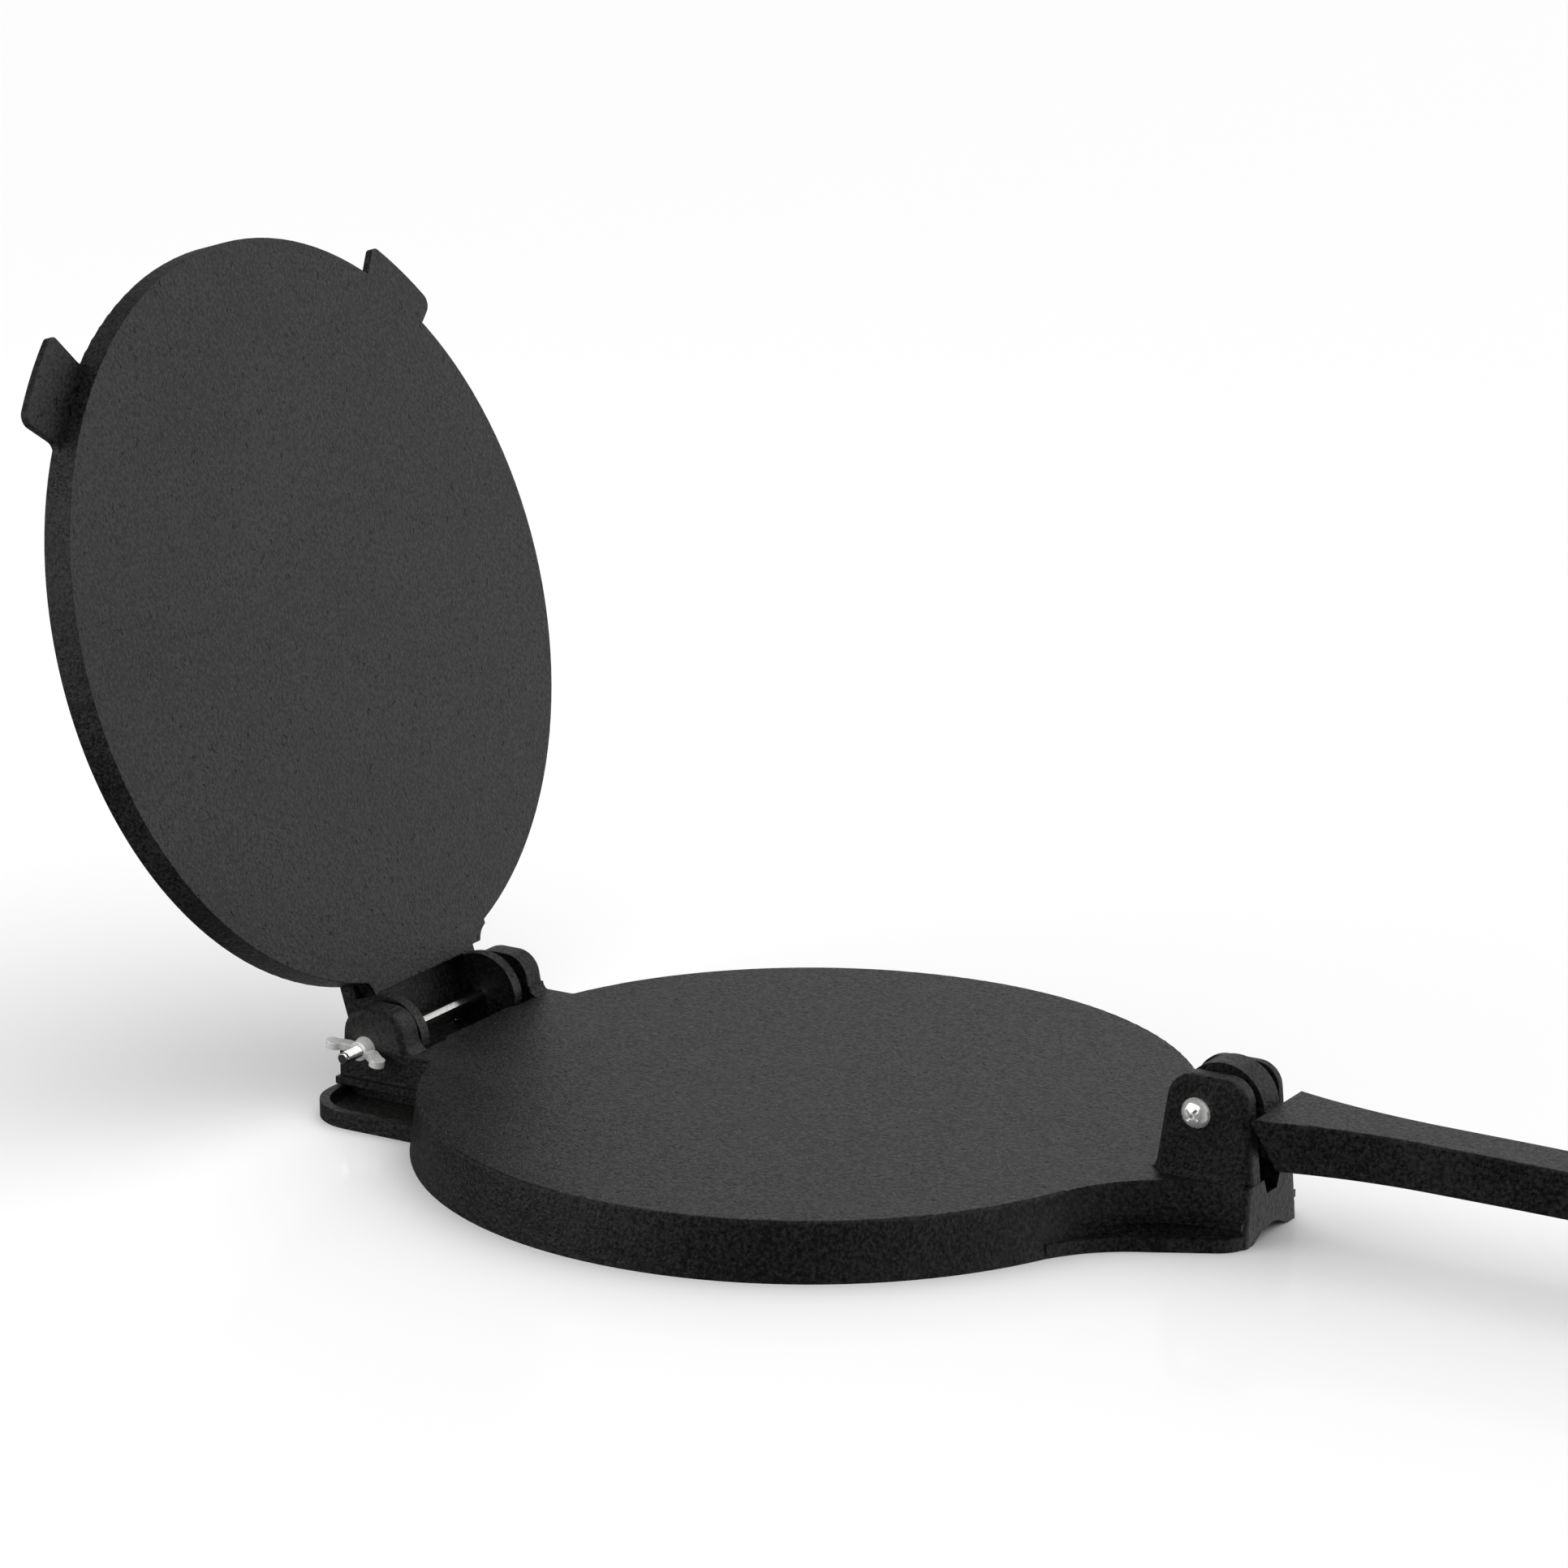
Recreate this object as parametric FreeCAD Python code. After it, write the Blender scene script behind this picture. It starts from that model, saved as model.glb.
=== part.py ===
"""Cast-iron tortilla press: base casting, hinged lid casting, lever casting and their fasteners.

Origin: centre of the round base on the surface it stands on. +Z is up, the lever and its clevis
are towards -Y, the lid hinge is towards +Y, and both hinge axes run along X. The rest pose is the
press standing open, with the lever out level in front. Lengths are millimetres, angles degrees.
"""
import FreeCAD
import Part
import math
import os

V = FreeCAD.Vector

# Base casting
PLATE_RADIUS = 127.0            # pressing face of a 10 inch press
BASE_HEIGHT = 19.3
SKIRT_FLARE = 2.6               # how much wider the skirt is at the floor
PLATE_THICKNESS = 5.5
SKIRT_WALL = 6.0
EDGE_ROUND = 1.2
RIB_WIDTH = 4.0
RIB_DEPTH = 5.5                 # stiffening ribs under the plate
RIB_COUNT = 6
RIB_HUB_RADIUS = 16.0

# Clevis block at the front of the base
BLOCK_HALF_WIDTH = 16.0
BLOCK_FRONT_Y = -166.3
BLOCK_NECK_RADIUS = 46.0        # hollow curve from the round skirt into the block
BLOCK_CORNER = 2.5
CHEEK_OUTER_X = 14.0            # on the -X side, under the screw head
FAR_CHEEK_OUTER_X = 12.4        # the other cheek is a little thinner
CHEEK_TOP_Z = 52.4
CHEEK_BACK_CORNER = 9.5
CHEEK_FRONT_CORNER = 8.0
CHEEK_BACK_Y = -131.8
CHEEK_TOP_BACK_Y = -137.2
CHEEK_TOP_FRONT_Y = -163.4
CHEEK_EDGE = 2.3
CHEEK_BLEND = 2.0               # hollow blends where the cheeks stand on the block
SLOT_HALF_WIDTH = 8.0
SLOT_NARROW_HALF = 3.4
SLOT_TAPER_Z = 25.0
SLOT_FLOOR_Z = 14.3
SLOT_BACK_Y = -137.0
SLOT_WEB = 3.0                  # low wall that closes the slot behind the lever's heel
SLOT_WEB_TOP_Z = 25.2
ARCH_HALF_WIDTH = 12.0          # gap under the block's front wall
ARCH_HEIGHT = 3.6
FRONT_HOLLOW_HALF = 10.0

# Feet: flat flanges with a raised lip, beside both blocks
FOOT_LIP_HEIGHT = 5.6
FOOT_FLOOR = 2.6
FOOT_LIP_WIDTH = 3.4
RIDGE_OUT = 2.8                 # ridge that runs round the blocks above the feet
RIDGE_LOW_Z = 6.2
RIDGE_HIGH_Z = 8.6
FRONT_FOOT_ROOT = (55.5, -117.1)        # plan points on the +X side, from the skirt to the tip
FRONT_FOOT_HOLLOW = (41.6, -129.0)
FRONT_FOOT_WAIST = (34.2, -141.0)
FRONT_FOOT_SHOULDER = (24.6, -159.3)
FRONT_FOOT_ROUND = (20.6, -164.0)
FRONT_FOOT_TIP = (14.0, -166.2)
FRONT_FOOT_LIP_HEIGHT = 4.4
REAR_FOOT_HALF = 66.7
REAR_FOOT_CORNER = 19.0
REAR_FOOT_Y = 156.2

# Hinge lugs on the base, and the lid's arms between them
HINGE_Y = 145.8
HINGE_Z = 19.2
LUG_OUTER_X = 42.0
LUG_INNER_X = 32.5
LUG_FRONT_Y = 129.8
LUG_TOP_FRONT_Y = 132.6
LUG_BACK_Y = 155.4
LUG_TOP_BACK_Y = 154.4
LUG_TOP_Z = 32.7
LUG_FRONT_CORNER = 8.5
LUG_BACK_CORNER = 9.5
LUG_EDGE = 2.2
LUG_BLEND = 3.0                 # hollow blend at the front of each lug
REAR_BLOCK_Y = 156.0
REAR_START_Y = 100.0            # inside the round skirt, where the rear block and foot begin
LEDGE_HALF_WIDTH = 23.5         # ledge between the arms, where the open lid comes to rest
LEDGE_TOP_Z = 9.2
TROUGH_RADIUS = 16.2
ARM_TROUGH_RADIUS = 17.8        # the trough is cut wider in front of each arm
ARM_TROUGH_X = 20.0
ARM_OUTER_X = 29.8
ARM_INNER_X = 25.3
ARM_RADIUS = 14.5

# Lid casting, described closed
LID_RADIUS = 125.7
LID_CENTRE_Y = 4.4
LID_FACE_Z = 21.2
LID_THICKNESS = 5.5
LID_RIM_HEIGHT = 11.3
LID_RIM_WIDTH = 6.0
LID_OPEN_ANGLE = 106.9
NECK_FILLET = 8.0
NECK_HALF = 31.2
NECK_SHIFT = 4.6                # the neck sits a little towards +X of the arms
NECK_LUG_RADIUS = 16.6          # cut back round the hinge, to pass the lugs
NECK_PLATE_Z = 27.2             # underside of the neck between the arms
NECK_BACK_Y = 152.0
NECK_EDGE_Y = 131.0             # rear edge of the lid's flat face
LID_RIB_WIDTH = 7.0
PAD_Y = -45.0
PAD_RADIUS = 17.0
PAD_TOP_Z = 38.0                # just under the lever when it is folded over the closed lid
PAD_DRAFT = 5.0

# Ears on the lid's rim
EAR_START = 38.6                # degrees from the front, each side
EAR_END = 52.3
EAR_RADIUS = 142.8
EAR_LOW = 7.4                   # height of its lower side above the lid's face
EAR_CORNERS = (2.5, 4.0)
EAR_BLEND = 3.5

# Lever casting
PIVOT_Y = -146.6
PIVOT_Z = 40.2
HUB_Y = -151.3
HUB_Z = 40.3
HUB_RADIUS = 14.4
HUB_HALF_WIDTH = 5.2
HEEL_BACK_Y = -137.2
HEEL_FRONT_Y = -144.0
HEEL_BOTTOM_Z = 22.2
HEEL_TOP_Z = 34.0
HEEL_HALF_WIDTH = 5.0
BAR_TOP_Z = 42.2
BAR_BOTTOM_Z = 26.2
BAR_ROOT_Y = -166.5
BAR_ROOT_SLANT = 8.7
BAR_ROOT_HALF = 17.3
BAR_HALF = 9.4
BAR_TAPER_Y = -222.0            # where the flare at the root has died out
BAR_DROOP_Y = -190.0            # from here the bar droops in one long gentle curve
BAR_DROOP_RADIUS = 4600.0
BAR_END_DEPTH = 13.5
BAR_END_Y = -408.0
GRIP_HALF = 11.5                # slight swell at the hand end
GRIP_Y = -370.0
SWELL_LENGTH = 40.0
BAR_EDGE = 1.0

# Fasteners
HINGE_BOLT_R = 2.0              # M4
HINGE_BOLT_END_X = -55.0
HINGE_THREAD_X = -39.0
HINGE_HEAD_R = 4.0
HINGE_HEAD_H = 2.9
PIVOT_SCREW_R = 2.5             # M5
PIVOT_HEAD_R = 5.0
PIVOT_HEAD_H = 3.5
PIVOT_NUT_ACROSS = 8.0
PIVOT_NUT_H = 4.7
PIVOT_SCREW_TAIL = 2.4
PIVOT_THREAD_X = 10.5
PIVOT_RECESS_TURN = 40.0
SEAT_GAP = 0.05                 # under the wing nut
RUNNING_CLEARANCE = 0.06        # radial, on every bolt in its hole
NUT_CLEARANCE = 0.03            # radial, between a nut and the thread inside it
NUT_CHAMFER = 0.4               # how far the nut's outer corners are turned off
NUT_CHAMFER_SPREAD = 3.0
HINGE_PITCH = 0.7
PIVOT_PITCH = 0.8
WING_BODY_R = 4.1
WING_TOP_R = 3.2
WING_BODY_H = 4.0
WING_SPAN = 8.8
WING_THICKNESS = 2.4
WING_TIP_R = 2.6
WING_TIP_OUT = 5.6
WING_TILT = 12.0
WING_ROOT_R = 5.3
WING_TIP_BACK = 0.8             # the tips' outer ends lean back a little
RECESS_WIDTH = 1.0              # arms of the cross recess
RECESS_DEPTH = 1.7
RECESS_SHARE = 0.5              # reach of the recess, as a share of the head's radius
RECESS_TIP_R = 0.3
RECESS_TIP_DEPTH = 2.1


def wire_face(points):
    """Flat face through a closed run of 3-D points."""
    return Part.Face(Part.makePolygon(list(points) + [points[0]]))


def side_profile(points_yz, low_x, high_x):
    """Prism across X from a side outline."""
    face = wire_face([V(low_x, y, z) for y, z in points_yz])
    return face.extrude(V(high_x - low_x, 0, 0))


def box(x0, x1, y0, y1, z0, z1):
    return Part.makeBox(x1 - x0, y1 - y0, z1 - z0, V(x0, y0, z0))


def x_rod(radius, x0, x1, y, z):
    return Part.makeCylinder(radius, x1 - x0, V(x0, y, z), V(1, 0, 0))


def line(a, b):
    return Part.LineSegment(a, b).toShape()


def arc(a, middle, b):
    return Part.Arc(a, middle, b).toShape()


def straight_edges(shape, axis):
    """Straight edges of a shape that run along one axis."""
    found = []
    for edge in shape.Edges:
        if edge.Curve.TypeId == "Part::GeomLine":
            if abs(edge.tangentAt(edge.FirstParameter).dot(axis)) > 0.999:
                found.append(edge)
    return found


def rounded_corners(prism, axis, radii, places):
    """Round the long edges of a prism that lie nearest to the given places."""
    shape = prism
    for radius, place in zip(radii, places):
        edges = straight_edges(shape, axis)
        nearest = min(edges, key=lambda e: (e.CenterOfMass - place).dot(e.CenterOfMass - place)
                      - ((e.CenterOfMass - place).dot(axis)) ** 2)
        shape = shape.makeFillet(radius, [nearest])
    return shape


def face_edges(shape, normal):
    """Edges round the faces that look along one direction."""
    found = []
    for face in shape.Faces:
        if face.Surface.TypeId == "Part::GeomPlane":
            if face.normalAt(0, 0).dot(normal) > 0.999:
                found.extend(face.Edges)
    return found


def both_sides(shape):
    """A shape and its mirror image across the press's middle plane."""
    return [shape, shape.mirror(V(0, 0, 0), V(1, 0, 0))]


def hollow_root(half_width, neck_radius, disc_radius, low, high, flare):
    """Start of a block that stands out of a disc towards -Y, hollowed where it joins the disc."""
    curve_x = half_width + neck_radius
    curve_y = -math.sqrt((disc_radius + neck_radius) ** 2 - curve_x ** 2)
    root_half = curve_x * disc_radius / (disc_radius + neck_radius)
    root = box(-root_half, root_half, curve_y, -disc_radius * 0.8, low, high)
    for side in (-1, 1):
        centre = V(side * curve_x, curve_y, low)
        if flare:
            curve = Part.makeCone(neck_radius - flare, neck_radius, high - low, centre)
        else:
            curve = Part.makeCylinder(neck_radius, high - low, centre)
        root = root.cut(curve)
    return root, curve_y


def foot_blend(radius, x0, x1, face_y, outward):
    """Hollow blend along X between the pressing face and an upright face that looks along Y."""
    near_y, far_y = sorted((face_y - outward, face_y + outward * radius))
    corner = box(x0, x1, near_y, far_y, BASE_HEIGHT - 1, BASE_HEIGHT + radius)
    return corner.cut(x_rod(radius, x0 - 1, x1 + 1, face_y + outward * radius, BASE_HEIGHT + radius))


def base_disc():
    """Round plate with its flared skirt, solid."""
    disc = Part.makeCone(PLATE_RADIUS + SKIRT_FLARE, PLATE_RADIUS, BASE_HEIGHT)
    return disc.makeFillet(EDGE_ROUND, face_edges(disc, V(0, 0, 1)))


def front_block():
    """Neck and clevis foot, level with the pressing face."""
    root, curve_y = hollow_root(BLOCK_HALF_WIDTH, BLOCK_NECK_RADIUS, PLATE_RADIUS,
                                0, BASE_HEIGHT, SKIRT_FLARE)
    foot_half = BLOCK_HALF_WIDTH + SKIRT_FLARE
    section = [(-foot_half, 0), (foot_half, 0),
               (BLOCK_HALF_WIDTH, BASE_HEIGHT), (-BLOCK_HALF_WIDTH, BASE_HEIGHT)]
    face = wire_face([V(x, BLOCK_FRONT_Y, z) for x, z in section])
    tip = face.extrude(V(0, curve_y + 1 - BLOCK_FRONT_Y, 0))
    corners = [e for e in tip.Edges if e.CenterOfMass.y < BLOCK_FRONT_Y + 0.1
               and abs(e.CenterOfMass.z - BASE_HEIGHT / 2) < 0.1]
    return root.fuse(tip.makeFillet(BLOCK_CORNER, corners)).removeSplitter()


def front_foot():
    """Flange on the floor round the front block, with a raised lip."""
    edges = []
    for side in (1, -1):
        root, hollow, waist, shoulder, round_point, tip = [V(side * x, y, 0) for x, y in (
            FRONT_FOOT_ROOT, FRONT_FOOT_HOLLOW, FRONT_FOOT_WAIST,
            FRONT_FOOT_SHOULDER, FRONT_FOOT_ROUND, FRONT_FOOT_TIP)]
        edges.append(arc(root, hollow, waist))
        edges.append(line(waist, shoulder))
        edges.append(arc(shoulder, round_point, tip))
    for x, y in (FRONT_FOOT_ROOT, FRONT_FOOT_TIP):
        edges.append(line(V(-x, y, 0), V(x, y, 0)))
    outline = Part.Face(Part.Wire(Part.__sortEdges__(edges)))
    inside = outline.makeOffset2D(-FOOT_LIP_WIDTH)
    inside.translate(V(0, 0, FOOT_FLOOR))
    foot = outline.extrude(V(0, 0, FRONT_FOOT_LIP_HEIGHT))
    return foot.cut(inside.extrude(V(0, 0, FRONT_FOOT_LIP_HEIGHT)))


def front_ridge():
    half = BLOCK_HALF_WIDTH + RIDGE_OUT
    root, curve_y = hollow_root(half, BLOCK_NECK_RADIUS + RIDGE_OUT, PLATE_RADIUS + 1,
                                RIDGE_LOW_Z, RIDGE_HIGH_Z, 0)
    return root.fuse(box(-half, half, BLOCK_FRONT_Y + 1, curve_y + 1, RIDGE_LOW_Z, RIDGE_HIGH_Z))


def clevis_cheek(outer_x):
    """One upright cheek of the clevis, on the +X side, with rounded top corners."""
    outline = [(CHEEK_BACK_Y, BASE_HEIGHT - 2), (CHEEK_TOP_BACK_Y, CHEEK_TOP_Z),
               (CHEEK_TOP_FRONT_Y, CHEEK_TOP_Z), (BLOCK_FRONT_Y, BASE_HEIGHT - 2)]
    cheek = side_profile(outline, SLOT_HALF_WIDTH, outer_x)
    tops = (V(0, CHEEK_TOP_BACK_Y, CHEEK_TOP_Z), V(0, CHEEK_TOP_FRONT_Y, CHEEK_TOP_Z))
    cheek = rounded_corners(cheek, V(1, 0, 0), (CHEEK_BACK_CORNER, CHEEK_FRONT_CORNER), tops)
    edges = [e for e in face_edges(cheek, V(1, 0, 0)) if e.CenterOfMass.z > BASE_HEIGHT]
    cheek = cheek.makeFillet(CHEEK_EDGE, edges)
    rear = foot_blend(CHEEK_BLEND, SLOT_HALF_WIDTH, outer_x - CHEEK_EDGE, CHEEK_BACK_Y, 1)
    corner = box(outer_x - 1, outer_x + CHEEK_BLEND, BLOCK_FRONT_Y + CHEEK_EDGE,
                 CHEEK_BACK_Y - CHEEK_EDGE, BASE_HEIGHT - 1, BASE_HEIGHT + CHEEK_BLEND)
    curve = Part.makeCylinder(CHEEK_BLEND, CHEEK_BACK_Y - BLOCK_FRONT_Y + 2,
                              V(outer_x + CHEEK_BLEND, BLOCK_FRONT_Y - 1,
                                BASE_HEIGHT + CHEEK_BLEND), V(0, 1, 0))
    return cheek.fuse([rear, corner.cut(curve)])


def clevis_slot():
    """Space for the lever's hub, narrowing towards its floor, and open at the front."""
    outline = [(-SLOT_HALF_WIDTH, CHEEK_TOP_Z + 5), (-SLOT_HALF_WIDTH, SLOT_TAPER_Z),
               (-SLOT_NARROW_HALF, SLOT_FLOOR_Z), (SLOT_NARROW_HALF, SLOT_FLOOR_Z),
               (SLOT_HALF_WIDTH, SLOT_TAPER_Z), (SLOT_HALF_WIDTH, CHEEK_TOP_Z + 5)]
    face = wire_face([V(x, BLOCK_FRONT_Y - 5, z) for x, z in outline])
    return face.extrude(V(0, SLOT_BACK_Y - BLOCK_FRONT_Y + 5, 0))


def rear_block():
    """Block under the hinge lugs, with the ridge round its sides."""
    block = box(-LUG_OUTER_X, LUG_OUTER_X, REAR_START_Y, REAR_BLOCK_Y, 0, BASE_HEIGHT)
    ridge_half = LUG_OUTER_X + RIDGE_OUT
    ridge = box(-ridge_half, ridge_half, REAR_START_Y, REAR_BLOCK_Y, RIDGE_LOW_Z, RIDGE_HIGH_Z)
    return block.fuse(ridge)


def rear_foot():
    """Wide flange on the floor beside the hinge, with a raised lip."""
    foot = box(-REAR_FOOT_HALF, REAR_FOOT_HALF, REAR_START_Y, REAR_FOOT_Y, 0, FOOT_LIP_HEIGHT)
    corners = (V(REAR_FOOT_HALF, REAR_FOOT_Y, 0), V(-REAR_FOOT_HALF, REAR_FOOT_Y, 0))
    foot = rounded_corners(foot, V(0, 0, 1), (REAR_FOOT_CORNER,) * 2, corners)
    half = REAR_FOOT_HALF - FOOT_LIP_WIDTH
    tray = box(-half, half, REAR_START_Y, REAR_FOOT_Y - FOOT_LIP_WIDTH,
               FOOT_FLOOR, FOOT_LIP_HEIGHT + 1)
    corners = (V(half, REAR_FOOT_Y - FOOT_LIP_WIDTH, 0), V(-half, REAR_FOOT_Y - FOOT_LIP_WIDTH, 0))
    tray = rounded_corners(tray, V(0, 0, 1), (REAR_FOOT_CORNER - FOOT_LIP_WIDTH,) * 2, corners)
    return foot.cut(tray)


def hinge_lug():
    """One lug of the hinge, on the +X side."""
    outline = [(LUG_FRONT_Y, BASE_HEIGHT - 2), (LUG_TOP_FRONT_Y, LUG_TOP_Z),
               (LUG_TOP_BACK_Y, LUG_TOP_Z), (LUG_BACK_Y, BASE_HEIGHT - 2)]
    lug = side_profile(outline, LUG_INNER_X, LUG_OUTER_X)
    tops = (V(0, LUG_TOP_FRONT_Y, LUG_TOP_Z), V(0, LUG_TOP_BACK_Y, LUG_TOP_Z))
    lug = rounded_corners(lug, V(1, 0, 0), (LUG_FRONT_CORNER, LUG_BACK_CORNER), tops)
    edges = [e for e in face_edges(lug, V(1, 0, 0)) if e.CenterOfMass.z > BASE_HEIGHT]
    lug = lug.makeFillet(LUG_EDGE, edges)
    return lug.fuse(foot_blend(LUG_BLEND, LUG_INNER_X, LUG_OUTER_X - 1, LUG_FRONT_Y + 0.3, -1))


def arm_trough():
    """Space between the lugs for the lid's arms, with a ledge left standing in the middle."""
    round_cut = x_rod(TROUGH_RADIUS, -LUG_INNER_X, LUG_INNER_X, HINGE_Y, HINGE_Z)
    upper_cut = box(-LUG_INNER_X, LUG_INNER_X, HINGE_Y - TROUGH_RADIUS, REAR_FOOT_Y + 5,
                    HINGE_Z, LUG_TOP_Z + 5)
    rear_cut = box(-LUG_INNER_X, LUG_INNER_X, HINGE_Y, REAR_FOOT_Y + 5, LEDGE_TOP_Z, LUG_TOP_Z)
    arm_cuts = both_sides(x_rod(ARM_TROUGH_RADIUS, ARM_TROUGH_X, LUG_INNER_X, HINGE_Y, HINGE_Z))
    ledge = box(-LEDGE_HALF_WIDTH, LEDGE_HALF_WIDTH, REAR_START_Y, REAR_FOOT_Y + 5, 0, LEDGE_TOP_Z)
    return round_cut.fuse([upper_cut, rear_cut] + arm_cuts).cut(ledge)


def underside_hollow():
    """Hollow under the plate, crossed by ribs, and the hollow in the front block."""
    inner = PLATE_RADIUS - SKIRT_WALL
    top = BASE_HEIGHT - PLATE_THICKNESS
    hollow = Part.makeCylinder(inner, top + 1, V(0, 0, -1))
    for i in range(RIB_COUNT // 2):
        rib = box(-inner, inner, -RIB_WIDTH / 2, RIB_WIDTH / 2, top - RIB_DEPTH, top + 1)
        rib.rotate(V(0, 0, 0), V(0, 0, 1), 90 + 180.0 * i * 2 / RIB_COUNT)
        hollow = hollow.cut(rib)
    hollow = hollow.cut(Part.makeCylinder(RIB_HUB_RADIUS, top + 1))
    tunnel = box(-FRONT_HOLLOW_HALF, FRONT_HOLLOW_HALF, BLOCK_FRONT_Y + SKIRT_WALL, -inner + 2,
                 -1, SLOT_FLOOR_Z - PLATE_THICKNESS)
    arch_radius = (ARCH_HALF_WIDTH ** 2 + ARCH_HEIGHT ** 2) / (2 * ARCH_HEIGHT)
    arch = Part.makeCylinder(arch_radius, SKIRT_WALL + 4,
                             V(0, BLOCK_FRONT_Y - 2, ARCH_HEIGHT - arch_radius), V(0, 1, 0))
    return hollow.fuse([tunnel, arch])


def base_casting():
    body = base_disc().fuse([front_block(), front_foot(), front_ridge(), rear_block(), rear_foot()])
    near_cheek = both_sides(clevis_cheek(CHEEK_OUTER_X))[1]
    far_cheek = clevis_cheek(FAR_CHEEK_OUTER_X)
    body = body.fuse([near_cheek, far_cheek] + both_sides(hinge_lug()))
    body = body.cut(clevis_slot())
    web = box(-SLOT_HALF_WIDTH - 1, SLOT_HALF_WIDTH + 1, SLOT_BACK_Y, SLOT_BACK_Y + SLOT_WEB,
              SLOT_FLOOR_Z, SLOT_WEB_TOP_Z)
    body = body.cut(arm_trough()).fuse(web)
    body = body.cut(underside_hollow())
    holes = [x_rod(HINGE_BOLT_R + RUNNING_CLEARANCE, -60, 60, HINGE_Y, HINGE_Z),
             x_rod(PIVOT_SCREW_R + RUNNING_CLEARANCE, -30, 30, PIVOT_Y, PIVOT_Z)]
    return body.cut(holes).removeSplitter()


def lid_disc():
    """Flat plate with a deep rim, open to the back."""
    disc = Part.makeCylinder(LID_RADIUS, LID_RIM_HEIGHT, V(0, LID_CENTRE_Y, LID_FACE_Z))
    disc = disc.makeFillet(EDGE_ROUND, face_edges(disc, V(0, 0, 1)))
    back = LID_FACE_Z + LID_THICKNESS
    pan = Part.makeCone(LID_RADIUS - LID_RIM_WIDTH - 3, LID_RADIUS - LID_RIM_WIDTH,
                        LID_RIM_HEIGHT - LID_THICKNESS + 1, V(0, LID_CENTRE_Y, back))
    return disc.cut(pan)


def lid_ribs():
    """Spokes on the lid's back, and the pad that the folded lever presses on."""
    back = LID_FACE_Z + LID_THICKNESS
    top = LID_FACE_Z + LID_RIM_HEIGHT
    reach = LID_RADIUS - LID_RIM_WIDTH / 2
    spokes = []
    for i in range(RIB_COUNT // 2):
        spoke = box(-LID_RIB_WIDTH / 2, LID_RIB_WIDTH / 2, -reach, reach, back - 1, top)
        spoke.rotate(V(0, 0, 0), V(0, 0, 1), 180.0 * i * 2 / RIB_COUNT)
        spoke.translate(V(0, LID_CENTRE_Y, 0))
        spokes.append(spoke)
    pad = Part.makeCone(PAD_RADIUS + PAD_DRAFT, PAD_RADIUS, PAD_TOP_Z - back + 1,
                        V(0, PAD_Y, back - 1))
    pad = pad.makeFillet(EDGE_ROUND, face_edges(pad, V(0, 0, 1)))
    return spokes + [pad]


def lid_neck():
    """Neck from the disc to the hinge arms, seen closed."""
    top = LID_FACE_Z + LID_RIM_HEIGHT
    neck = hollow_root(NECK_HALF, NECK_FILLET, LID_RADIUS, LID_FACE_Z, top, 0)[0]
    neck.rotate(V(0, 0, 0), V(0, 0, 1), 180)
    neck.translate(V(NECK_SHIFT, LID_CENTRE_Y, 0))
    neck = neck.cut(x_rod(NECK_LUG_RADIUS, LUG_INNER_X - 0.8, LUG_OUTER_X, HINGE_Y, HINGE_Z))
    plate = box(-ARM_OUTER_X, ARM_OUTER_X, LID_RADIUS, NECK_BACK_Y, NECK_PLATE_Z, top)
    return [neck, plate]


def lid_arm():
    """One hinge arm of the lid, on the +X side, seen closed."""
    top = LID_FACE_Z + LID_RIM_HEIGHT
    eye = x_rod(ARM_RADIUS, ARM_INNER_X, ARM_OUTER_X, HINGE_Y, HINGE_Z)
    stem = box(ARM_INNER_X, ARM_OUTER_X, HINGE_Y - ARM_RADIUS, NECK_BACK_Y, HINGE_Z, top)
    arm = eye.fuse(stem).removeSplitter()
    above = box(ARM_INNER_X - 1, ARM_OUTER_X + 1, HINGE_Y, HINGE_Y + 30, top, top + 20)
    return arm.cut(above)


def lid_ear():
    """One lifting ear on the rim, on the +X side."""
    low = LID_FACE_Z + EAR_LOW
    thickness = LID_RIM_HEIGHT - EAR_LOW - EDGE_ROUND
    ear = Part.makeCylinder(EAR_RADIUS, thickness, V(0, 0, low), V(0, 0, 1), EAR_END - EAR_START)
    ear.rotate(V(0, 0, 0), V(0, 0, 1), EAR_START - 90)
    ring = Part.makeCylinder(LID_RADIUS, thickness, V(0, 0, low))
    ear = ear.fuse(ring).removeSplitter()
    for radius, reach in ((EAR_CORNERS, EAR_RADIUS), ((EAR_BLEND,) * 2, LID_RADIUS)):
        places = []
        for angle in (EAR_START, EAR_END):
            turn = math.radians(angle)
            places.append(V(reach * math.sin(turn), -reach * math.cos(turn), 0))
        ear = rounded_corners(ear, V(0, 0, 1), radius, places)
    ear = ear.cut(Part.makeCylinder(LID_RADIUS - LID_RIM_WIDTH / 2, thickness + 2, V(0, 0, low - 1)))
    ear.translate(V(0, LID_CENTRE_Y, 0))
    return ear


def lid_casting():
    parts = lid_ribs() + lid_neck() + both_sides(lid_arm()) + both_sides(lid_ear())
    lid = lid_disc().fuse(parts)
    between = box(-ARM_INNER_X, ARM_INNER_X, NECK_EDGE_Y, NECK_BACK_Y + 1, 0, NECK_PLATE_Z)
    lid = lid.cut(between)
    lid = lid.cut(x_rod(HINGE_BOLT_R + RUNNING_CLEARANCE, -60, 60, HINGE_Y, HINGE_Z))
    lid = lid.removeSplitter()
    lid.rotate(V(0, HINGE_Y, HINGE_Z), V(1, 0, 0), -LID_OPEN_ANGLE)
    return lid


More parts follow.
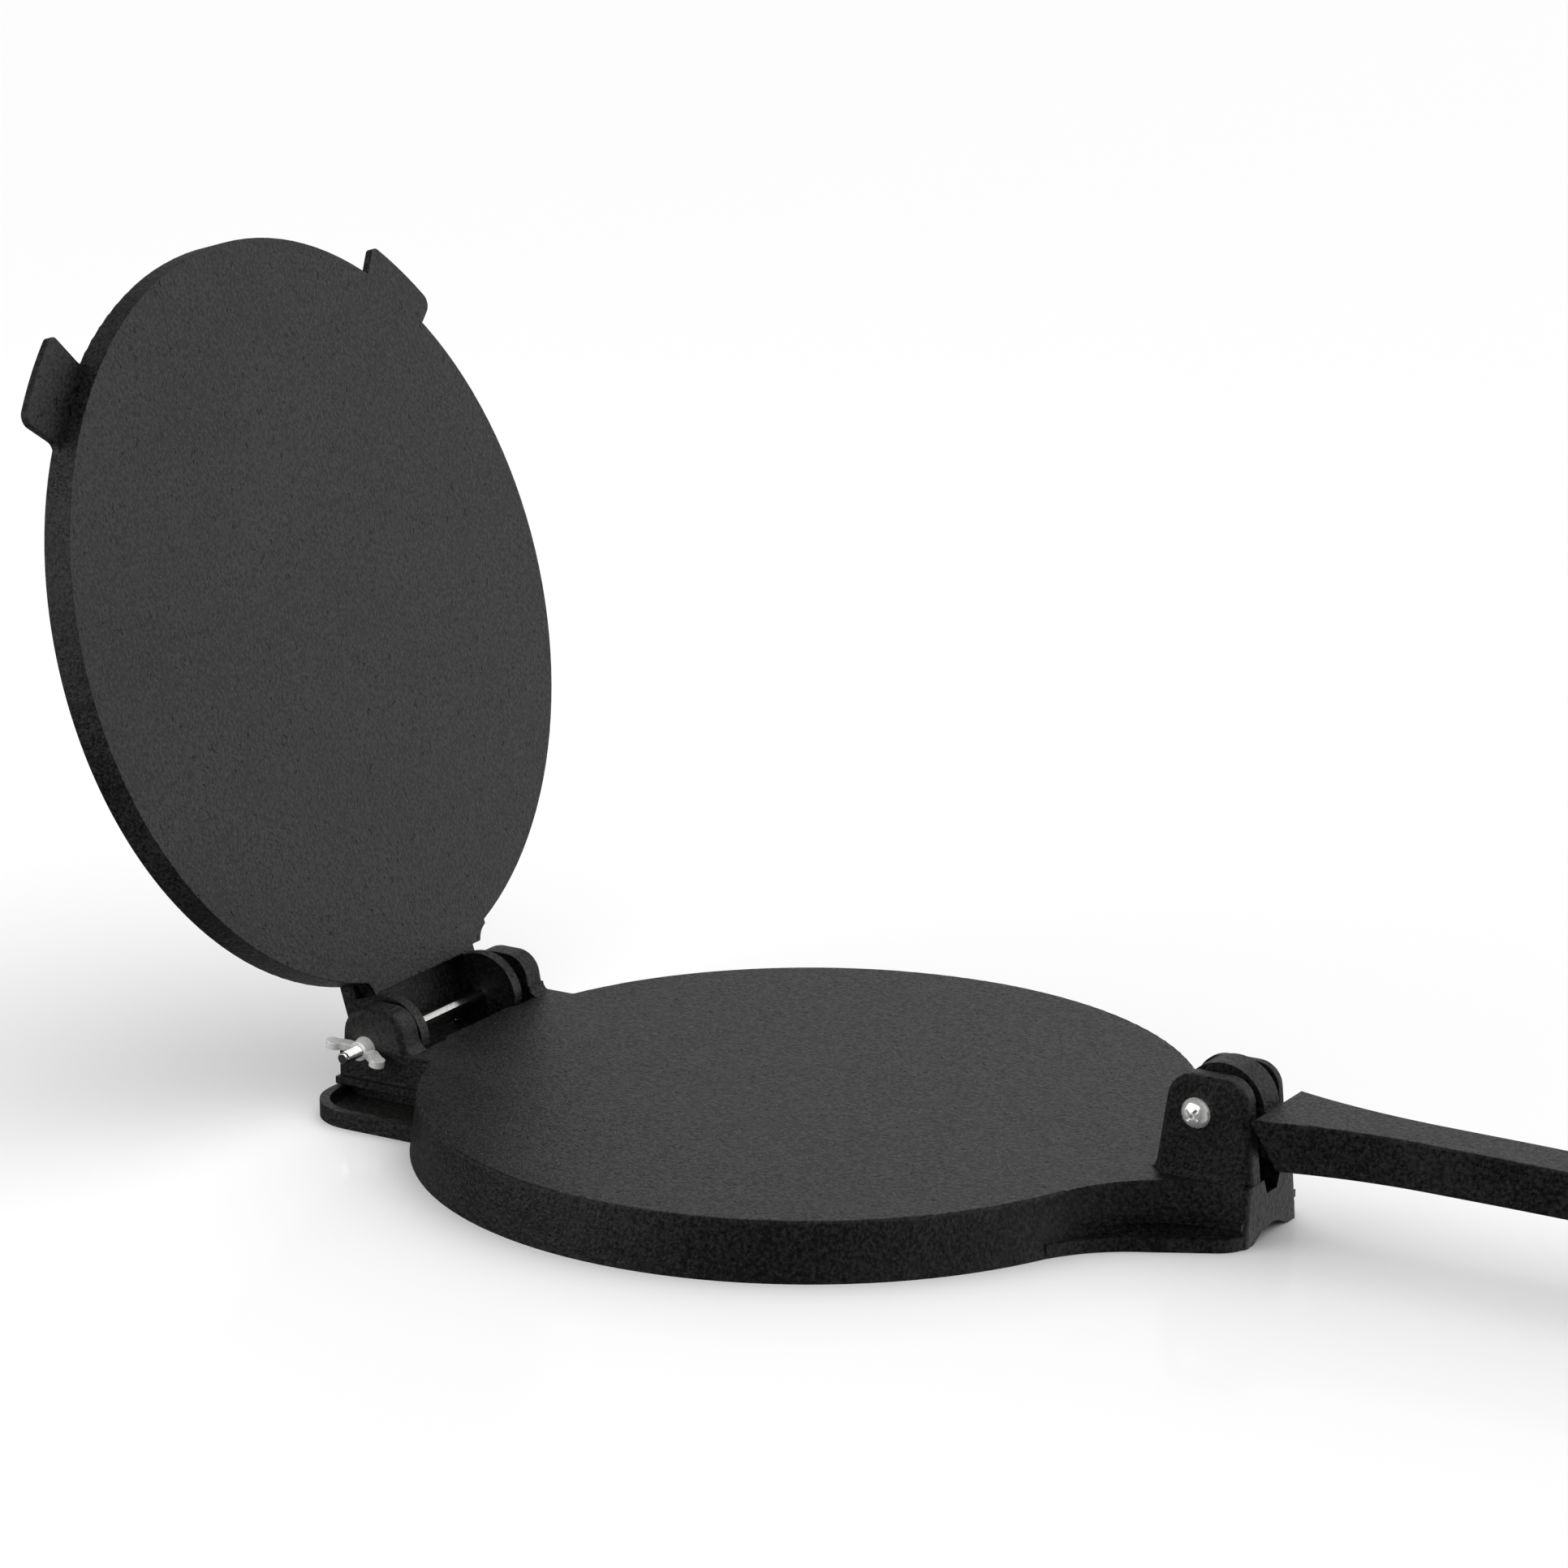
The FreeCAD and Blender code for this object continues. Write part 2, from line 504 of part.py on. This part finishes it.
def swell_points(side):
    """Points along the swell from the shank to the grip, in quarters of its length."""
    rise = GRIP_HALF - BAR_HALF
    points = []
    for quarter, share in enumerate((0, 0.125, 0.5, 0.875, 1)):
        y = GRIP_Y + SWELL_LENGTH * (1 - quarter / 4)
        points.append(V(side * (BAR_HALF + rise * share), y, 0))
    return points


def bar_plan():
    """Prism over the bar's outline from above: flared root, long shank, swollen grip."""
    middle_y = (BAR_TAPER_Y + BAR_ROOT_Y) / 2
    middle_x = BAR_HALF + (BAR_ROOT_HALF - BAR_HALF) / 4
    edges = []
    for side in (1, -1):
        root = V(side * BAR_ROOT_HALF, BAR_ROOT_Y, 0)
        waist = V(side * BAR_HALF, BAR_TAPER_Y, 0)
        swell = swell_points(side)
        edges.append(arc(root, V(side * middle_x, middle_y, 0), waist))
        edges.append(line(waist, swell[0]))
        edges.append(arc(swell[0], swell[1], swell[2]))
        edges.append(arc(swell[2], swell[3], swell[4]))
        edges.append(line(swell[4], V(side * GRIP_HALF, BAR_END_Y + GRIP_HALF, 0)))
    edges.append(line(V(-BAR_ROOT_HALF, BAR_ROOT_Y, 0), V(BAR_ROOT_HALF, BAR_ROOT_Y, 0)))
    edges.append(arc(V(GRIP_HALF, BAR_END_Y + GRIP_HALF, 0), V(0, BAR_END_Y, 0),
                     V(-GRIP_HALF, BAR_END_Y + GRIP_HALF, 0)))
    face = Part.Face(Part.Wire(Part.__sortEdges__(edges)))
    return face.extrude(V(0, 0, BAR_TOP_Z + 10))


def bar_side():
    """Prism over the bar's outline from the side, with its slanted root and gentle droop."""
    def top_z(y):
        return BAR_TOP_Z - (y - BAR_DROOP_Y) ** 2 / (2 * BAR_DROOP_RADIUS)

    x = -BAR_ROOT_HALF - 5
    end_y = BAR_END_Y - 10
    middle_y = (BAR_DROOP_Y + end_y) / 2
    bottom_y = BAR_ROOT_Y - BAR_ROOT_SLANT
    depth = BAR_TOP_Z - BAR_BOTTOM_Z
    middle_depth = (depth + BAR_END_DEPTH) / 2
    root_top = V(x, BAR_ROOT_Y, BAR_TOP_Z)
    root_bottom = V(x, bottom_y, BAR_BOTTOM_Z)
    droop_start = V(x, BAR_DROOP_Y, BAR_TOP_Z)
    end_top = V(x, end_y, top_z(end_y))
    end_bottom = V(x, end_y, top_z(end_y) - BAR_END_DEPTH)
    edges = [line(root_bottom, root_top),
             line(root_top, droop_start),
             arc(droop_start, V(x, middle_y, top_z(middle_y)), end_top),
             line(end_top, end_bottom),
             arc(end_bottom, V(x, middle_y, top_z(middle_y) - middle_depth), root_bottom)]
    face = Part.Face(Part.Wire(edges))
    return face.extrude(V(2 * BAR_ROOT_HALF + 10, 0, 0))


def lever_hub():
    """Round hub between the cheeks, its web into the bar, and the heel that stops it."""
    hub = x_rod(HUB_RADIUS, -HUB_HALF_WIDTH, HUB_HALF_WIDTH, HUB_Y, HUB_Z)
    inside_y = BAR_ROOT_Y - BAR_ROOT_SLANT - 4
    web = side_profile([(HUB_Y, HUB_Z - HUB_RADIUS), (inside_y, BAR_BOTTOM_Z + 1),
                        (inside_y, BAR_TOP_Z - 1), (HUB_Y, BAR_TOP_Z - 1)],
                       -HUB_HALF_WIDTH, HUB_HALF_WIDTH)
    heel = side_profile([(HEEL_BACK_Y, HEEL_BOTTOM_Z), (HEEL_BACK_Y, HEEL_TOP_Z), (HUB_Y, HUB_Z),
                         (HUB_Y, HUB_Z - HUB_RADIUS + 2), (HEEL_FRONT_Y, HEEL_BOTTOM_Z)],
                        -HEEL_HALF_WIDTH, HEEL_HALF_WIDTH)
    return [hub, web, heel]


def lever_casting():
    bar = bar_side().common(bar_plan())
    bar = bar.makeFillet(BAR_EDGE, [e for e in bar.Edges if abs(e.tangentAt(e.FirstParameter).z) < 0.5])
    lever = bar.fuse(lever_hub())
    lever = lever.cut(x_rod(PIVOT_SCREW_R + RUNNING_CLEARANCE, -30, 30, PIVOT_Y, PIVOT_Z))
    return lever.removeSplitter()


def cross_recess(reach):
    """Cutter for the cross recess of a screw head that faces -X, at the origin."""
    half = RECESS_WIDTH / 2
    blades = [box(-1, RECESS_DEPTH, -reach, reach, -half, half),
              box(-1, RECESS_DEPTH, -half, half, -reach, reach)]
    tip = Part.makeCone(reach / 2, RECESS_TIP_R, RECESS_TIP_DEPTH, V(0, 0, 0), V(1, 0, 0))
    return blades[0].fuse([blades[1], tip])


def pan_head(radius, height):
    """Domed head from x = 0 outwards to x = -height, with a cross recess."""
    dome = (radius ** 2 + height ** 2) / (2 * height)
    cap = Part.makeSphere(dome, V(dome - height, 0, 0))
    head = cap.common(x_rod(radius, -height, 0, 0, 0))
    recess = cross_recess(radius * RECESS_SHARE)
    recess.translate(V(-height, 0, 0))
    return head.cut(recess)


def threaded_rod(radius, pitch, plain_x, end_x):
    """Rod along X from plain_x to a pointed-off end, with thread grooves as plain rings."""
    depth = pitch / 2
    step = -pitch if end_x < plain_x else pitch
    turns = int(abs(end_x - plain_x) / pitch) - 1
    points = [V(plain_x, 0, 0), V(plain_x, radius, 0)]
    for i in range(turns):
        start = plain_x + step * i
        points.append(V(start + step * 0.25, radius, 0))
        points.append(V(start + step * 0.6, radius - depth, 0))
        points.append(V(start + step * 0.95, radius, 0))
    points.append(V(end_x - step * 0.6, radius, 0))
    points.append(V(end_x, radius - depth, 0))
    points.append(V(end_x, 0, 0))
    return wire_face(points).revolve(V(0, 0, 0), V(1, 0, 0), 360)


def hinge_bolt():
    """M4 bolt through both lugs and both arms, its head on the +X side."""
    head = pan_head(HINGE_HEAD_R, HINGE_HEAD_H)
    head.rotate(V(0, 0, 0), V(0, 0, 1), 180)
    head.translate(V(LUG_OUTER_X, 0, 0))
    shank = x_rod(HINGE_BOLT_R, HINGE_THREAD_X, LUG_OUTER_X, 0, 0)
    thread = threaded_rod(HINGE_BOLT_R, HINGE_PITCH, HINGE_THREAD_X, HINGE_BOLT_END_X)
    bolt = shank.fuse([head, thread]).removeSplitter()
    bolt.translate(V(0, HINGE_Y, HINGE_Z))
    return bolt


def wing_nut():
    """Wing nut on the -X end of the hinge bolt."""
    body = Part.makeCone(WING_BODY_R, WING_TOP_R, WING_BODY_H, V(0, 0, 0), V(-1, 0, 0))
    low_z = -WING_THICKNESS / 2
    seat_x = -0.5
    neck_x = -WING_BODY_H + 0.3
    parts = []
    for side in (1, -1):
        outline = [V(seat_x, 0, low_z),
                   V(seat_x, side * WING_ROOT_R, low_z),
                   V(-WING_TIP_OUT + WING_TIP_R, side * WING_SPAN, low_z),
                   V(-WING_TIP_OUT - WING_TIP_R / 2, side * (WING_SPAN - WING_TIP_BACK), low_z),
                   V(neck_x, side * (WING_TOP_R - WING_TIP_BACK), low_z),
                   V(neck_x, 0, low_z)]
        blade = wire_face(outline).extrude(V(0, 0, WING_THICKNESS))
        tip = Part.makeCylinder(WING_TIP_R, WING_THICKNESS, V(-WING_TIP_OUT, side * WING_SPAN, low_z))
        parts.extend([blade, tip])
    bore = x_rod(HINGE_BOLT_R + RUNNING_CLEARANCE, -2 * WING_BODY_H, 1, 0, 0)
    nut = body.fuse(parts).cut(bore).removeSplitter()
    nut.rotate(V(0, 0, 0), V(1, 0, 0), WING_TILT)
    nut.translate(V(-LUG_OUTER_X - SEAT_GAP, HINGE_Y, HINGE_Z))
    return nut


def pivot_screw():
    """M5 screw through the clevis and the lever's hub, its head on the -X side."""
    head = pan_head(PIVOT_HEAD_R, PIVOT_HEAD_H)
    head.rotate(V(0, 0, 0), V(1, 0, 0), PIVOT_RECESS_TURN)
    head.translate(V(-CHEEK_OUTER_X, 0, 0))
    shank = x_rod(PIVOT_SCREW_R, -CHEEK_OUTER_X, PIVOT_THREAD_X, 0, 0)
    end_x = FAR_CHEEK_OUTER_X + PIVOT_NUT_H + PIVOT_SCREW_TAIL
    thread = threaded_rod(PIVOT_SCREW_R, PIVOT_PITCH, PIVOT_THREAD_X, end_x)
    screw = shank.fuse([head, thread]).removeSplitter()
    screw.translate(V(0, PIVOT_Y, PIVOT_Z))
    return screw


def pivot_nut():
    """M5 hexagon nut on the +X side of the clevis."""
    corner = PIVOT_NUT_ACROSS / math.sqrt(3)
    points = []
    for i in range(6):
        turn = math.radians(60 * i + 30)
        points.append(V(0, corner * math.cos(turn), corner * math.sin(turn)))
    nut = wire_face(points).extrude(V(PIVOT_NUT_H, 0, 0))
    nut = nut.common(Part.makeCone(corner + NUT_CHAMFER_SPREAD, corner - NUT_CHAMFER, PIVOT_NUT_H,
                                   V(0, 0, 0), V(1, 0, 0)))
    nut = nut.cut(x_rod(PIVOT_SCREW_R + NUT_CLEARANCE, -1, PIVOT_NUT_H + 1, 0, 0))
    nut.translate(V(FAR_CHEEK_OUTER_X, PIVOT_Y, PIVOT_Z))
    return nut


def main():
    os.makedirs("parts", exist_ok=True)
    pieces = {
        "base_casting": base_casting(),
        "lid_casting": lid_casting(),
        "lever_casting": lever_casting(),
        "hinge_bolt": hinge_bolt(),
        "hinge_wing_nut": wing_nut(),
        "lever_pivot_screw": pivot_screw(),
        "lever_pivot_nut": pivot_nut(),
    }
    for name, shape in pieces.items():
        solid = shape.Solids[0]
        print(name, "solids", len(shape.Solids), "valid", shape.isValid(),
              "cm3", round(shape.Volume / 1000, 2))
        solid.exportStep("parts/" + name + ".step")


main()
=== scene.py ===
"""Studio picture of a cast-iron tortilla press standing open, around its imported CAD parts."""
import math

import bpy
from mathutils import Matrix, Vector

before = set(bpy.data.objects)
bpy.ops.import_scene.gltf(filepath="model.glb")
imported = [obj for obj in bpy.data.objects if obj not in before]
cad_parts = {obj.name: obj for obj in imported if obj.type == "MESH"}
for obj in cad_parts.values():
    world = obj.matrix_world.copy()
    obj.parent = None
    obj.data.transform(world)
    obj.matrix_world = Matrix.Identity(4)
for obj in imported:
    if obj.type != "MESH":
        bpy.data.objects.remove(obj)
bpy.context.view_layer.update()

# Camera: the photograph's place, direction and lens, in metres and degrees.
CAMERA_PLACE = Vector((-1.5173, -0.9053, 0.6217))
CAMERA_YAW = 58.91
CAMERA_PITCH = -15.83
CAMERA_ROLL = 0.09
SENSOR_MM = 36.0
LENS_MM = 132.4
CLIP_END = 50

# Colours are linear.
IRON = (0.0008, 0.0008, 0.0007, 1)
IRON_WORN = (0.0200, 0.0200, 0.0190, 1)
IRON_PIT = (0.0, 0.0, 0.0, 1)
IRON_SPECULAR = 0.42
CHROME = (0.80, 0.80, 0.79, 1)
CHROME_STAIN = (0.50, 0.49, 0.46, 1)
FLOOR_WHITE = (0.90, 0.90, 0.90, 1)

# Noises: cells per metre, detail, roughness.
BLOTCH_NOISE = (22, 4, 0.6)
GRAIN_NOISE = (800, 3, 0.75)
SKIN_NOISE = (760, 3, 0.65)
LUMP_NOISE = (130, 2, 0.5)
PIT_NOISE = (380, 2, 0.5)
STAIN_NOISE = (700, 3, 0.6)
RIPPLE_NOISE = (900, 2, 0.5)

# Values between which an effect fades in.
MIDDLE_LIMITS = (0.35, 0.65)    # most of a noise lies between these
GRAIN_LIMITS = (0.36, 0.64)
PIT_LIMITS = (0.67, 0.73)
WORN_LIMITS = (0.56, 0.78)
STAIN_LIMITS = (0.50, 0.80)
FACING_LIMITS = (0.90, 0.97)    # how squarely a surface faces along the pressing face's normal

# Iron: roughness of its two kinds of surface, and what makes up its bumps.
FACE_ROUGHNESS = (0.32, 0.38)
WALL_ROUGHNESS = (0.42, 0.58)
GRAIN_GLOSS = 0.07
BLOTCH_WEAR = 0.3               # how much of the wear follows the blotches
BUMP_HEIGHT = 0.0003
FACE_GRAIN = 1.1                # shares of the bump height
FACE_PITS = -0.9
WALL_SKIN = 2.2
WALL_LUMPS = 2.4
IRON_EDGE_ROUND = 0.0005
EDGE_SAMPLES = 4

# Chrome on each fastener: material name, roughness, bump height in metres, share of metal.
CHROME_FINISHES = {
    "hinge_bolt": ("bolt_chrome", 0.12, 0.00001, 1.0),
    "hinge_wing_nut": ("wing_nut_chrome", 0.25, 0.00006, 0.60),
    "lever_pivot_screw": ("screw_chrome", 0.16, 0.00001, 0.75),
    "lever_pivot_nut": ("nut_chrome", 0.15, 0.00001, 1.0),
}
CHROME_BUMP_STRENGTH = 0.5
CHROME_EDGE_ROUND = 0.0002
STAIN_DULLING = 0.15            # extra roughness where the plating is stained

FLOOR_HALF = 5.0
FLOOR_GLOSS = 0.06
FLOOR_GLOSS_ROUGHNESS = 0.12

# Lights: places and sizes in metres.
OVERHEAD_STRENGTH = 2.8
OVERHEAD_SPREAD = 140.0         # degrees
OVERHEAD_TILT = (-8, 10)        # degrees about X and Y
PANEL_PLACE = (-0.72, 0.92, 0.33)
PANEL_TARGET = (0, 0.05, 0.15)
PANEL_SIZE = (1.3, 0.65)
PANEL_WATTS = 4
CARD_PLACE = (-0.42, 0.10, 0.30)
CARD_TARGET = (0, -0.02, 0.03)
CARD_SIZE = (1.1, 0.58)
CARD_WATTS = 4

# The backdrop's glow runs from dim to bright along this direction.
BACKDROP_SIDE = Vector((0.84, -0.54, 0.0))
GLOW_REACH = (-0.20, 1.00)
GLOW_STRENGTH = (0.03, 0.87)

# Pressing faces as they point at rest: the base's up, the open lid's forward.
OPEN_ANGLE = math.radians(106.9)
UP = (0, 0, 1)
LID_FACE = (0, -math.sin(OPEN_ANGLE), -math.cos(OPEN_ANGLE))


class Nodes:
    """A material's or world's node tree, with a short way to add linked nodes."""

    def __init__(self, owner):
        owner.use_nodes = True
        self.tree = owner.node_tree
        self.tree.nodes.clear()

    def add(self, kind, values=None, **settings):
        node = self.tree.nodes.new(kind)
        for key, value in settings.items():
            setattr(node, key, value)
        for key, value in (values or {}).items():
            if isinstance(value, bpy.types.NodeSocket):
                self.tree.links.new(value, node.inputs[key])
            else:
                node.inputs[key].default_value = value
        return node

    def noise(self, place, scale, detail, roughness):
        values = {"Vector": place, "Scale": scale, "Detail": detail, "Roughness": roughness}
        return self.add("ShaderNodeTexNoise", values).outputs["Fac"]

    def ramp(self, value, low, high, start=0.0, end=1.0):
        values = {"Value": value, "From Min": low, "From Max": high, "To Min": start, "To Max": end}
        return self.add("ShaderNodeMapRange", values).outputs["Result"]

    def math(self, operation, first, second):
        return self.add("ShaderNodeMath", {0: first, 1: second}, operation=operation).outputs[0]

    def weighted(self, first, first_share, second, second_share):
        return self.math("ADD", self.math("MULTIPLY", first, first_share),
                         self.math("MULTIPLY", second, second_share))

    def mix(self, share, first, second):
        node = self.add("ShaderNodeMix", data_type="RGBA")
        for socket, value in ((0, share), (6, first), (7, second)):
            if isinstance(value, bpy.types.NodeSocket):
                self.tree.links.new(value, node.inputs[socket])
            else:
                node.inputs[socket].default_value = value
        return node.outputs[2]

    def dot(self, first, direction):
        values = {0: first, 1: tuple(direction)}
        return self.add("ShaderNodeVectorMath", values, operation="DOT_PRODUCT").outputs["Value"]


def iron_material(name, face_normal):
    """Seasoned cast iron: fine grain and pits on the faces along face_normal, sand-cast skin elsewhere."""
    material = bpy.data.materials.new(name)
    nodes = Nodes(material)
    coordinates = nodes.add("ShaderNodeTexCoord")
    place = coordinates.outputs["Object"]
    facing = nodes.ramp(nodes.dot(coordinates.outputs["Normal"], face_normal), *FACING_LIMITS)
    wall = nodes.math("SUBTRACT", 1.0, facing)
    blotch = nodes.noise(place, *BLOTCH_NOISE)
    grain = nodes.noise(place, *GRAIN_NOISE)
    skin = nodes.noise(place, *SKIN_NOISE)
    lumps = nodes.noise(place, *LUMP_NOISE)
    pits = nodes.ramp(nodes.noise(place, *PIT_NOISE), *PIT_LIMITS)
    worn = nodes.ramp(nodes.math("ADD", nodes.math("MULTIPLY", blotch, BLOTCH_WEAR), grain), *WORN_LIMITS)
    colour = nodes.mix(worn, IRON, IRON_WORN)
    colour = nodes.mix(nodes.math("MULTIPLY", pits, facing), colour, IRON_PIT)
    speckle = nodes.ramp(grain, *GRAIN_LIMITS, GRAIN_GLOSS, -GRAIN_GLOSS)
    rough_face = nodes.math("ADD", nodes.ramp(blotch, *MIDDLE_LIMITS, *FACE_ROUGHNESS), speckle)
    rough_wall = nodes.ramp(skin, *MIDDLE_LIMITS, *WALL_ROUGHNESS)
    roughness = nodes.weighted(rough_face, facing, rough_wall, wall)
    face_height = nodes.weighted(grain, FACE_GRAIN, pits, FACE_PITS)
    wall_height = nodes.weighted(skin, WALL_SKIN, lumps, WALL_LUMPS)
    height = nodes.weighted(face_height, facing, wall_height, wall)
    bevel = nodes.add("ShaderNodeBevel", {"Radius": IRON_EDGE_ROUND}, samples=EDGE_SAMPLES)
    bump = nodes.add("ShaderNodeBump", {"Strength": 1.0, "Distance": BUMP_HEIGHT, "Height": height,
                                        "Normal": bevel.outputs["Normal"]})
    shader = nodes.add("ShaderNodeBsdfPrincipled", {"Base Color": colour, "Roughness": roughness,
                                                    "Normal": bump.outputs["Normal"],
                                                    "Specular IOR Level": IRON_SPECULAR})
    nodes.add("ShaderNodeOutputMaterial", {"Surface": shader.outputs["BSDF"]})
    return material


def chrome_material(name, roughness, bump_height, metallic):
    """Bright plated steel with a faintly uneven, slightly stained skin."""
    material = bpy.data.materials.new(name)
    nodes = Nodes(material)
    place = nodes.add("ShaderNodeTexCoord").outputs["Object"]
    stain = nodes.ramp(nodes.noise(place, *STAIN_NOISE), *STAIN_LIMITS)
    ripple = nodes.noise(place, *RIPPLE_NOISE)
    bevel = nodes.add("ShaderNodeBevel", {"Radius": CHROME_EDGE_ROUND}, samples=EDGE_SAMPLES)
    bump = nodes.add("ShaderNodeBump", {"Strength": CHROME_BUMP_STRENGTH, "Distance": bump_height,
                                        "Height": ripple, "Normal": bevel.outputs["Normal"]})
    shader = nodes.add("ShaderNodeBsdfPrincipled", {
        "Base Color": nodes.mix(stain, CHROME, CHROME_STAIN),
        "Metallic": metallic,
        "Roughness": nodes.ramp(stain, 0, 1, roughness, roughness + STAIN_DULLING),
        "Normal": bump.outputs["Normal"]})
    nodes.add("ShaderNodeOutputMaterial", {"Surface": shader.outputs["BSDF"]})
    return material


def floor_material():
    """Matt white with a faint gloss."""
    material = bpy.data.materials.new("floor_white")
    nodes = Nodes(material)
    matt = nodes.add("ShaderNodeBsdfDiffuse", {"Color": FLOOR_WHITE})
    gloss = nodes.add("ShaderNodeBsdfGlossy", {"Color": FLOOR_WHITE, "Roughness": FLOOR_GLOSS_ROUGHNESS})
    both = nodes.add("ShaderNodeMixShader", {0: FLOOR_GLOSS, 1: matt.outputs[0], 2: gloss.outputs[0]})
    nodes.add("ShaderNodeOutputMaterial", {"Surface": both.outputs[0]})
    return material


def dress(node, material):
    """Put one material on a CAD node."""
    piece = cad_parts[node]
    for slot in piece.material_slots:
        slot.material = material


def add_floor():
    mesh = bpy.data.meshes.new("floor")
    corners = [(-FLOOR_HALF, -FLOOR_HALF, 0), (FLOOR_HALF, -FLOOR_HALF, 0),
               (FLOOR_HALF, FLOOR_HALF, 0), (-FLOOR_HALF, FLOOR_HALF, 0)]
    mesh.from_pydata(corners, [], [(0, 1, 2, 3)])
    mesh.materials.append(floor_material())
    floor = bpy.data.objects.new("floor", mesh)
    floor.visible_glossy = False
    bpy.context.scene.collection.objects.link(floor)


def add_softbox(name, place, target, size, watts):
    light = bpy.data.lights.new(name, "AREA")
    light.shape = "RECTANGLE"
    light.size, light.size_y = size
    light.energy = watts
    lamp = bpy.data.objects.new(name, light)
    lamp.location = place
    aim = Vector(target) - Vector(place)
    lamp.rotation_euler = aim.to_track_quat("-Z", "Y").to_euler()
    lamp.visible_camera = False
    bpy.context.scene.collection.objects.link(lamp)
    return lamp


def light_only(lamp, nodes):
    """Let a lamp light only the given CAD nodes."""
    receivers = bpy.data.collections.new(lamp.name + "_receivers")
    for node in nodes:
        receivers.objects.link(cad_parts[node])
    lamp.light_linking.receiver_collection = receivers


def add_overhead():
    """Broad even light from straight above, so the floor stays white out to its edges."""
    light = bpy.data.lights.new("overhead", "SUN")
    light.energy = OVERHEAD_STRENGTH
    light.angle = math.radians(OVERHEAD_SPREAD)
    lamp = bpy.data.objects.new("overhead", light)
    lamp.rotation_euler = (math.radians(OVERHEAD_TILT[0]), math.radians(OVERHEAD_TILT[1]), 0)
    lamp.visible_glossy = False
    bpy.context.scene.collection.objects.link(lamp)


def set_world():
    """White backdrop, bright behind the press and dim on the camera's side."""
    world = bpy.data.worlds.new("studio")
    bpy.context.scene.world = world
    nodes = Nodes(world)
    direction = nodes.add("ShaderNodeTexCoord").outputs["Generated"]
    glow = nodes.ramp(nodes.dot(direction, BACKDROP_SIDE), *GLOW_REACH, *GLOW_STRENGTH)
    seen = nodes.add("ShaderNodeLightPath").outputs["Is Camera Ray"]
    strength = nodes.math("MAXIMUM", glow, seen)
    background = nodes.add("ShaderNodeBackground", {"Color": (1, 1, 1, 1), "Strength": strength})
    nodes.add("ShaderNodeOutputWorld", {"Surface": background.outputs[0]})


def add_camera():
    yaw = math.radians(CAMERA_YAW)
    pitch = math.radians(CAMERA_PITCH)
    roll = math.radians(CAMERA_ROLL)
    forward = Vector((math.cos(pitch) * math.sin(yaw), math.cos(pitch) * math.cos(yaw), math.sin(pitch)))
    level = Vector((math.cos(yaw), -math.sin(yaw), 0))
    down = forward.cross(level)
    right = level * math.cos(roll) + down * math.sin(roll)
    up = right.cross(forward)
    turn = Matrix((right, up, -forward)).transposed()
    data = bpy.data.cameras.new("camera")
    data.sensor_width = SENSOR_MM
    data.lens = LENS_MM
    data.clip_end = CLIP_END
    camera = bpy.data.objects.new("camera", data)
    camera.matrix_world = Matrix.Translation(CAMERA_PLACE) @ turn.to_4x4()
    bpy.context.scene.collection.objects.link(camera)
    bpy.context.scene.camera = camera


def main():
    add_camera()
    set_world()
    add_floor()
    add_overhead()
    add_softbox("left_panel", PANEL_PLACE, PANEL_TARGET, PANEL_SIZE, PANEL_WATTS)
    card = add_softbox("chrome_card", CARD_PLACE, CARD_TARGET, CARD_SIZE, CARD_WATTS)
    light_only(card, CHROME_FINISHES)
    base_iron = iron_material("base_iron", UP)
    lid_iron = iron_material("lid_iron", LID_FACE)
    dress("base_casting", base_iron)
    dress("lid_casting", lid_iron)
    dress("lever_casting", base_iron)
    for node, finish in CHROME_FINISHES.items():
        dress(node, chrome_material(*finish))
    bpy.context.scene.view_settings.view_transform = "Standard"


main()
